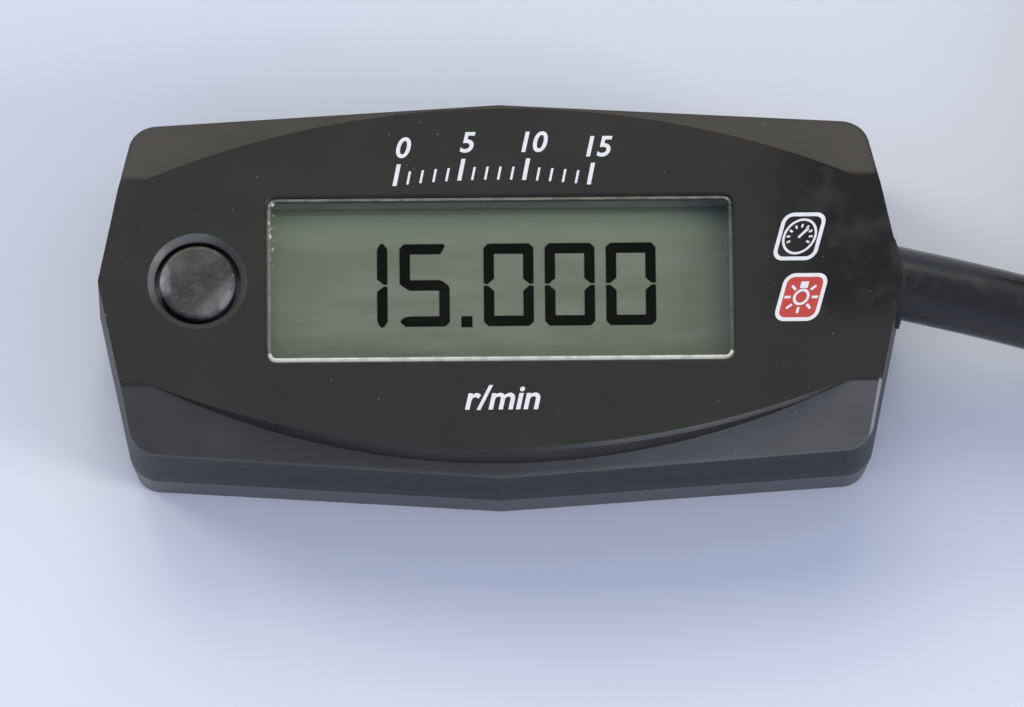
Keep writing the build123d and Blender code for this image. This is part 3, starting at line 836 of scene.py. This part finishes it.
# Metal pieces: the marks that all of them have, their colours where clean and where stained,
# and how the brushing is drawn out
metalMarks = {
    "lines": {"size": 0.12, "detail": 2.0},
    "stains": {"size": 0.9, "detail": 3.0, "low": 0.45, "high": 0.8},
    "lineDepth": 0.004,
}
metals = {
    "connector_terminals": {
        "name": "tinned brass", "clean": (0.78, 0.66, 0.38), "stained": (0.45, 0.36, 0.18),
        "rough": 0.25, "brushed": (1, 0.1, 1),
    },
    "cover_screws": {
        "name": "blackened steel", "clean": (0.30, 0.30, 0.31), "stained": (0.12, 0.12, 0.12),
        "rough": 0.32, "brushed": (1, 0.2, 1),
    },
    "clock_crystal": {
        "name": "drawn steel can", "clean": (0.72, 0.72, 0.70), "stained": (0.5, 0.5, 0.48),
        "rough": 0.22, "brushed": (1, 0.1, 1),
    },
}


def metalFinish(name, clean, stained, rough, brushed):
    f = Finish(name)
    lines = f.noise(**metalMarks["lines"], stretch=brushed)
    stains = f.blotches(**metalMarks["stains"])
    return f.surface({
        "Base Color": f.mix(stains * 0.6 + lines * 0.3, clean, stained),
        "Metallic": 1.0,
        "Roughness": rough + lines * 0.2 + stains * 0.1,
        "Normal": f.bump(lines, metalMarks["lineDepth"], 0.6),
    })


for piece, look in metals.items():
    dress(metalFinish(**look), piece)


# Plain pieces inside the housing: finish, colour, second colour, roughness, size and depth of the grain,
# how metallic it is, and the pieces that have it
innerPieces = [
    ("white display frame", (0.66, 0.66, 0.62), (0.55, 0.55, 0.5), 0.4, 0.3, 0.01, 0.0, ["display_frame"]),
    ("display glass", (0.30, 0.35, 0.28), (0.22, 0.27, 0.22), 0.08, 0.6, 0.002, 0.0, ["display_glass"]),
    (
        "silver reflector film", (0.52, 0.54, 0.50), (0.42, 0.44, 0.40), 0.22, 0.25, 0.004, 0.6,
        ["rear_reflector"],
    ),
    ("milky light guide", (0.78, 0.80, 0.76), (0.68, 0.70, 0.67), 0.2, 0.4, 0.004, 0.0, ["light_guide"]),
    ("lamp gel", (0.75, 0.68, 0.30), (0.62, 0.55, 0.22), 0.35, 0.2, 0.01, 0.0, ["backlight_lamps"]),
    (
        "layered contact rubber", (0.42, 0.16, 0.18), (0.05, 0.04, 0.04), 0.6, 0.12, 0.01, 0.0,
        ["upper_contact_strip", "lower_contact_strip"],
    ),
    (
        "moulded epoxy", (0.016, 0.016, 0.017), (0.035, 0.035, 0.035), 0.5, 0.12, 0.01, 0.0,
        ["microcontroller", "voltage_regulator"],
    ),
    ("tan ceramic", (0.36, 0.25, 0.14), (0.28, 0.19, 0.1), 0.4, 0.15, 0.008, 0.0, ["capacitors"]),
    ("key switch plastic", (0.025, 0.025, 0.026), (0.05, 0.05, 0.05), 0.45, 0.2, 0.01, 0.0, ["key_switch"]),
    ("plunger plastic", (0.55, 0.55, 0.52), (0.42, 0.42, 0.4), 0.4, 0.2, 0.01, 0.0, ["switch_plunger"]),
]


def plainFinish(name, colour, shade, rough, grainSize, grainDepth, metallic):
    f = Finish(name)
    grain = f.noise(grainSize, 3.0)
    # the patches are 14 times as wide as the grain
    patches = f.blotches(grainSize * 14, 2.0, 0.35, 0.75)
    return f.surface({
        "Base Color": f.mix(patches * 0.6 + grain * 0.25, colour, shade),
        "Metallic": metallic,
        "Roughness": rough + grain * 0.15,
        "Normal": f.bump(grain, grainDepth, 0.5),
    })


for *look, names in innerPieces:
    dress(plainFinish(*look), *names)


# Circuit board: copper tracks under green solder mask
board = {
    "mask": (0.008, 0.11, 0.035),
    "track": (0.03, 0.24, 0.08),
    "fibre": (0.06, 0.2, 0.1),
    # how close the tracks are, the edges of a track, and how they step aside from row to row
    "tracksPerMm": 0.7,
    "trackEdge": (0.36, 0.4),
    "rowsPerMm": 0.33,
    "stepAside": 0.37,
    "crossTracksPerMm": 0.9,
    "crossTrackEdge": (0.4, 0.43),
    # where the tracks run along the board and where across it
    "areas": {"size": 4.0, "detail": 1.0, "low": 0.48, "high": 0.5},
    "fibres": {"size": 0.3, "detail": 2.0, "stretch": (1, 0.2, 1)},
    "trackDepth": 0.03,
}


def boardFinish():
    f = Finish("green circuit board")
    x, y = f.along("XY")
    aside = f.math("FLOOR", y * board["rowsPerMm"]) * board["stepAside"]
    track = f.math("FRACT", x * board["tracksPerMm"] + aside)
    crossTrack = f.math("FRACT", y * board["crossTracksPerMm"])
    tracks = f.ramp(abs(track - 0.5), *board["trackEdge"])
    crossTracks = f.ramp(abs(crossTrack - 0.5), *board["crossTrackEdge"])
    areas = f.blotches(**board["areas"])
    copper = tracks * areas + crossTracks * (1 - areas)
    fibres = f.noise(**board["fibres"])
    colour = f.mix(copper * 0.75, board["mask"], board["track"])
    colour = f.mix(fibres * 0.15, colour, board["fibre"])
    return f.surface({
        "Base Color": colour,
        "Roughness": 0.3 + fibres * 0.15,
        "Normal": f.bump(copper, board["trackDepth"], 0.5),
    })


# Three lead wires side by side, coloured by where each lies along y
wires = {
    "colours": [(0.0, (0.02, 0.02, 0.02)), (0.33, (0.45, 0.02, 0.015)), (0.66, (0.55, 0.5, 0.06))],
    "dirt": (0.2, 0.15, 0.1),
    "across": (-2.6, 4.2),
    "grain": {"size": 0.2, "detail": 2.0},
}


def wireFinish():
    f = Finish("wire insulation")
    y, = f.along("Y")
    bands = f.node("ShaderNodeValToRGB", {"stops": wires["colours"]}, {0: f.ramp(y, *wires["across"])})
    grain = f.noise(**wires["grain"])
    colour = f.mix(grain * 0.2, bands, wires["dirt"])
    return f.surface({"Base Color": colour, "Roughness": 0.35 + grain * 0.1})


dress(boardFinish(), "circuit_board")
dress(wireFinish(), "lead_wires")
print("inner pieces finished")


# Pale table top
floor = {
    "half": 3000.0,
    "pale": (0.655, 0.69, 0.765),
    "deep": (0.62, 0.655, 0.735),
    "gloss": 0.25,
    "roughness": 0.75,
    "clouds": {"size": 45.0, "detail": 3.0, "low": 0.3, "high": 0.75},
    "grain": {"size": 0.9, "detail": 3.0},
    "grainDepth": 0.05,
}


def floorFinish():
    f = Finish("pale table")
    grain = f.noise(**floor["grain"])
    return f.surface({
        "Base Color": f.mix(f.blotches(**floor["clouds"]) * 0.6 + grain * 0.25, floor["pale"], floor["deep"]),
        "Roughness": floor["roughness"],
        "Specular IOR Level": floor["gloss"],
        "Normal": f.bump(grain, floor["grainDepth"], 0.35),
    })


half = floor["half"] * mm
floorMesh = bpy.data.meshes.new("floor")
corners = [(-half, -half, 0), (half, -half, 0), (half, half, 0), (-half, half, 0)]
floorMesh.from_pydata(corners, [], [(0, 1, 2, 3)])
floorMesh.materials.append(floorFinish())
floorObject = bpy.data.objects.new("floor", floorMesh)
scene.collection.objects.link(floorObject)


# Lights: two warm ones from the left and from behind, and a cooler low one from the right.
# They shine from far away, so only their direction counts, and spread is their width in degrees.
lights = {
    "left": {"toward": (-1.5, 0.9, 1.0), "spread": 22.6, "strength": 0.97, "colour": (0.94, 0.87, 0.60)},
    "back": {"toward": (-0.15, 1.05, 1.0), "spread": 38.6, "strength": 1.22, "colour": (0.94, 0.87, 0.60)},
    "right": {"toward": (2.4, -0.9, 1.0), "spread": 22.6, "strength": 1.64, "colour": (0.89, 0.87, 0.76)},
}
lampDistance = 2000
for name, light in lights.items():
    sun = bpy.data.lights.new(name, "SUN")
    sun.angle = math.radians(light["spread"])
    sun.energy, sun.color = light["strength"], light["colour"]
    sunObject = bpy.data.objects.new(name, sun)
    away = Vector(light["toward"]).normalized() * (lampDistance * mm)
    sunObject.matrix_world = Matrix.Translation(away) @ away.to_track_quat("Z", "Y").to_matrix().to_4x4()
    scene.collection.objects.link(sunObject)
# only the other pieces shade the low lamp's light: the put-away coil throws no shadow into the picture
blockers = bpy.data.collections.new("blocks the right lamp")
for piece in scene.objects:
    if piece.type == "MESH" and piece.name != "floor":
        blockers.objects.link(piece)
bpy.data.objects["right"].light_linking.blocker_collection = blockers

# A bluish sky, a little darker overhead than near the horizon: its strengths, and where one becomes the other
sky = {"colour": (0.66, 0.725, 1.0), "overhead": 0.66, "low": 1.1, "change": (0.42, 0.92)}


def paintSky():
    world = bpy.data.worlds.new("sky")
    f = Finish("sky", world, "Generated")
    strength = sky["low"] + f.ramp(f.axis("Z"), *sky["change"]) * (sky["overhead"] - sky["low"])
    background = f.node("ShaderNodeBackground", None, {"Color": (*sky["colour"], 1), "Strength": strength})
    f.node("ShaderNodeOutputWorld", None, {"Surface": background})
    return world


scene.world = paintSky()
print("lit")

bpy.context.view_layer.update()
